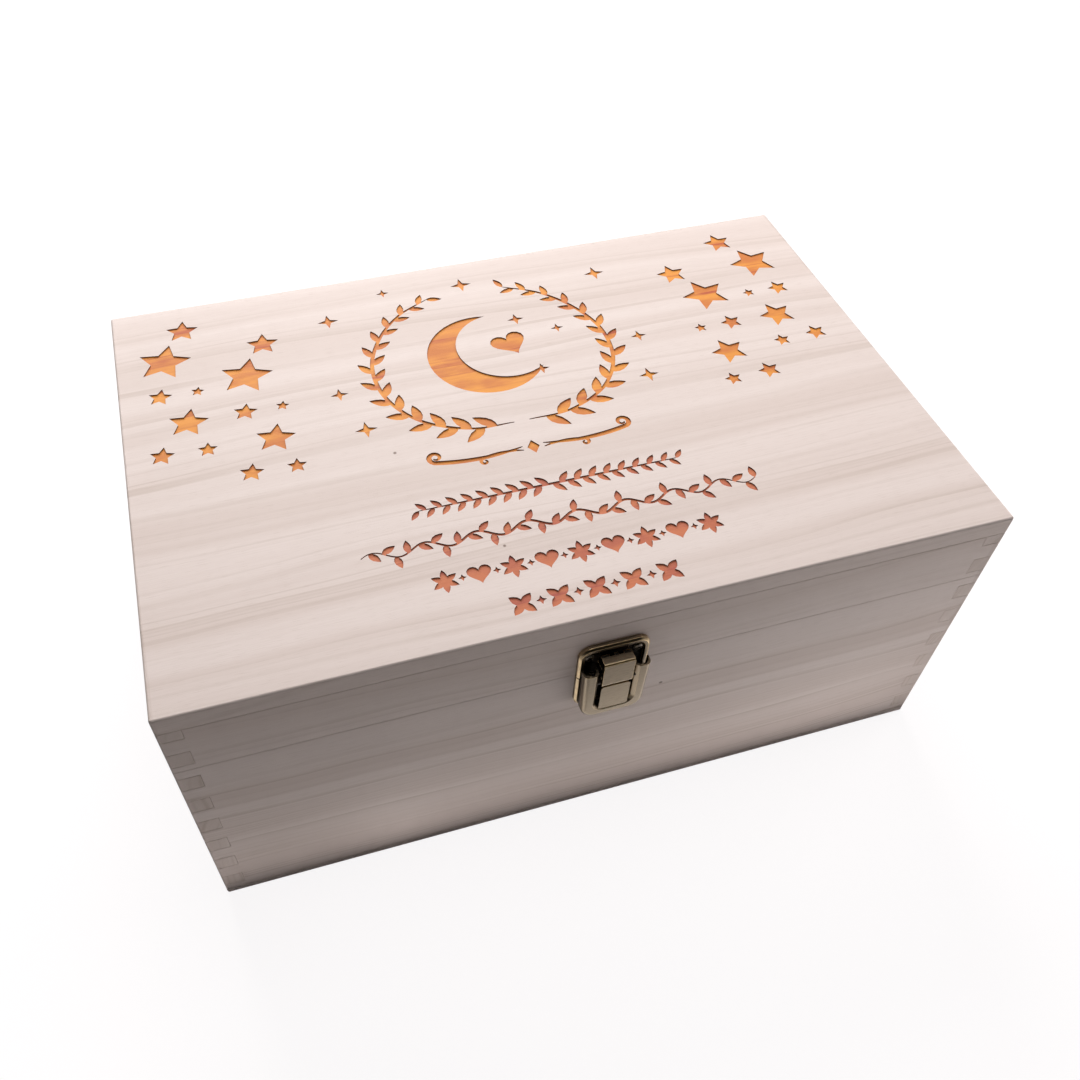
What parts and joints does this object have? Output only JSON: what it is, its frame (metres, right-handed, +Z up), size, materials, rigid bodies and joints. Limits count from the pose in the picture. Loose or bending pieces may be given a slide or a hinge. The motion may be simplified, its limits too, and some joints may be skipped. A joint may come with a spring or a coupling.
{
  "type": "keepsake box",
  "caption": "Wooden keepsake box with finger-jointed corners, a hinged lid and an over-centre draw latch on the front.",
  "frame": {"origin": "middle of the wooden case's underside, on the surface it stands on", "axes": "+Z up; -Y is the front, with the latch; +X is to the right seen from the front, along the box's width"},
  "size_m": [0.3, 0.2108, 0.13],
  "materials": {
    "top_board": "bare sanded pine board, grain along X",
    "wall_boards": "bare sanded pine, grain along each board",
    "base_board": "bare thin board",
    "aged_bronze": "antique bronze plate, brushed bright on its high edges and black in its hollows",
    "dark_bronze": "antique bronze, dark",
    "aged_bronze_screws": "antique bronze screws, rubbed on the heads"
  },
  "bodies": {
    "case": {"base_panel": "base_board", "front_wall": "wall_boards", "back_wall": "wall_boards", "left_wall": "wall_boards", "right_wall": "wall_boards", "hinge_left_body_leaf": "aged_bronze", "hinge_right_body_leaf": "aged_bronze", "hinge_left_pin": "dark_bronze", "hinge_right_pin": "dark_bronze", "hinge_body_screws": "aged_bronze_screws", "latch_strike_plate": "aged_bronze", "latch_strike_screws": "aged_bronze_screws"},
    "lid": {"lid_top_panel": "top_board", "lid_front_rail": "wall_boards", "lid_back_rail": "wall_boards", "lid_left_rail": "wall_boards", "lid_right_rail": "wall_boards", "hinge_left_lid_leaf": "aged_bronze", "hinge_right_lid_leaf": "aged_bronze", "hinge_lid_screws": "aged_bronze_screws", "latch_keeper_plate": "aged_bronze", "latch_keeper_screws": "aged_bronze_screws"},
    "lever": {"latch_lever": "aged_bronze", "latch_lever_pins": "dark_bronze", "latch_strap_pin": "dark_bronze"},
    "strap": {"latch_strap": "aged_bronze"}
  },
  "joints": [
    {"name": "lid_hinge", "type": "hinge", "parent": "case", "child": "lid", "pos_m": [0, 0.102, 0.098], "axis": [-1, 0, 0], "range_deg": [0, 180]},
    {"name": "latch_lever_turn", "type": "hinge", "parent": "case", "child": "lever", "pos_m": [0, -0.1053, 0.1023], "axis": [-1, 0, 0], "range_deg": [0, 90]},
    {"name": "latch_strap_turn", "type": "hinge", "parent": "lever", "child": "strap", "pos_m": [0, -0.10485, 0.0985], "axis": [-1, 0, 0], "range_deg": [-90, 0]}
  ],
  "couplings": [
    {"joint": "latch_strap_turn", "follows": "latch_lever_turn", "ratio": -1}
  ]
}
